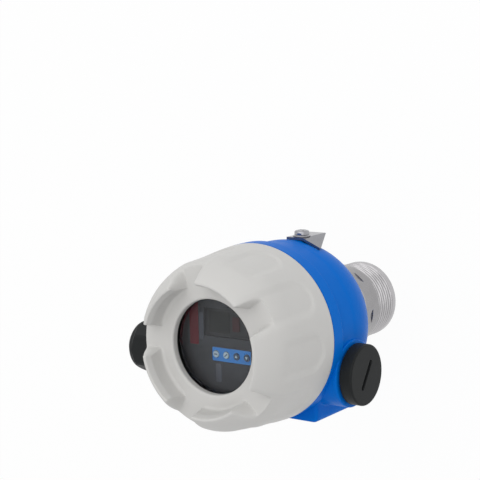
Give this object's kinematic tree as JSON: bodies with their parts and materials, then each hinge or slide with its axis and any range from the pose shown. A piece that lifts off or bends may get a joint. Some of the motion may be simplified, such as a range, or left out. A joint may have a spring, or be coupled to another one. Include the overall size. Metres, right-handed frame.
{
  "type": "ultrasonic level sensor",
  "caption": "Screw-in ultrasonic level sensor: round blue housing, grey window cover over a display, cable gland, blanking plug, and a steel threaded neck with the transducer in its end.",
  "frame": {"origin": "centre of the transducer face, the sensor's measuring datum", "axes": "+Z along the main axis from the transducer face to the window cover; +X at the blanked entry, -X at the cable gland; -Y at the nameplate"},
  "size_m": [0.2071, 0.1327, 0.2215],
  "materials": {
    "cover_paint": "light grey powder coat, semi-gloss",
    "housing_paint": "blue powder coat, semi-gloss",
    "stainless_steel": "turned stainless steel",
    "bright_screw": "plated screws and washers",
    "black_plastic": "moulded black polyamide",
    "seal_rubber": "black rubber",
    "clear_glass": "flat toughened glass",
    "module_plastic": "dark grey moulded plastic",
    "keypad_blue": "printed blue keypad film",
    "key_pale": "pale key caps",
    "key_dark": "dark key caps",
    "lcd_glass": "dark display panel",
    "circuit_board": "green solder mask",
    "terminal_green": "moulded green terminal block",
    "plate_aluminium": "bare satin nameplate",
    "sensor_face": "dark grey transducer cup",
    "piezo_ceramic": "fired ceramic disc",
    "potting": "cast resin"
  },
  "bodies": {
    "housing": {"housing": "housing_paint", "process_neck": "stainless_steel", "neck_gasket": "seal_rubber", "transducer_cup": "sensor_face", "transducer_seal": "seal_rubber", "matching_layer": "potting", "piezo_disc": "piezo_ceramic", "backing_block": "potting", "transducer_lead": "seal_rubber", "gland_body": "black_plastic", "gland_gasket": "seal_rubber", "ground_bracket": "stainless_steel", "ground_washer": "bright_screw", "ground_screw": "bright_screw", "nameplate": "plate_aluminium", "lock_screw": "bright_screw", "insert_frame": "module_plastic", "main_board": "circuit_board", "converter_module": "potting", "terminal_block": "terminal_green", "terminal_screws": "bright_screw", "insert_screws": "bright_screw", "display_board": "circuit_board", "display_bezel": "module_plastic", "lcd_panel": "lcd_glass", "keypad_strip": "keypad_blue"},
    "cover_seal": {"cover_seal": "seal_rubber"},
    "cover": {"cover": "cover_paint", "window_glass": "clear_glass", "glass_gasket": "seal_rubber", "glass_ring": "stainless_steel"},
    "plug_gasket": {"plug_gasket": "seal_rubber"},
    "blanking_plug": {"blanking_plug": "black_plastic"},
    "gland_insert": {"gland_insert": "seal_rubber"},
    "gland_nut": {"gland_nut": "black_plastic"},
    "key_1": {"key_1": "key_pale"},
    "key_2": {"key_2": "key_pale"},
    "key_3": {"key_3": "key_dark"},
    "key_4": {"key_4": "key_dark"}
  },
  "joints": [
    {"name": "cover_lift", "type": "slide", "parent": "housing", "child": "cover_seal", "axis": [0, 0, 1], "range_m": [0, 0.0086]},
    {"name": "cover_turn", "type": "hinge", "parent": "cover_seal", "child": "cover", "pos_m": [0, 0, 0.15], "axis": [0, 0, 1], "range_deg": [0, 1530]},
    {"name": "plug_lift", "type": "slide", "parent": "housing", "child": "plug_gasket", "axis": [1, 0, 0], "range_m": [0, 0.00647]},
    {"name": "plug_turn", "type": "hinge", "parent": "plug_gasket", "child": "blanking_plug", "pos_m": [0.063, -0.028, 0.1224], "axis": [1, 0, 0], "range_deg": [0, 1530]},
    {"name": "gland_lift", "type": "slide", "parent": "housing", "child": "gland_insert", "axis": [-1, 0, 0], "range_m": [0, 0.00647]},
    {"name": "gland_turn", "type": "hinge", "parent": "gland_insert", "child": "gland_nut", "pos_m": [-0.11, -0.028, 0.1224], "axis": [-1, 0, 0], "range_deg": [0, 1530]},
    {"name": "key_1_press", "type": "slide", "parent": "housing", "child": "key_1", "axis": [0, 0, -1], "range_m": [0, 0.0005], "stiffness_N_per_m": 1500, "springref_m": -0.0002},
    {"name": "key_2_press", "type": "slide", "parent": "housing", "child": "key_2", "axis": [0, 0, -1], "range_m": [0, 0.0005], "stiffness_N_per_m": 1500, "springref_m": -0.0002},
    {"name": "key_3_press", "type": "slide", "parent": "housing", "child": "key_3", "axis": [0, 0, -1], "range_m": [0, 0.0005], "stiffness_N_per_m": 1500, "springref_m": -0.0002},
    {"name": "key_4_press", "type": "slide", "parent": "housing", "child": "key_4", "axis": [0, 0, -1], "range_m": [0, 0.0005], "stiffness_N_per_m": 1500, "springref_m": -0.0002}
  ],
  "couplings": [
    {"joint": "cover_lift", "follows": "cover_turn", "m_per_rad": 0.00031831},
    {"joint": "plug_lift", "follows": "plug_turn", "m_per_rad": 0.00023873},
    {"joint": "gland_lift", "follows": "gland_turn", "m_per_rad": 0.00023873}
  ]
}
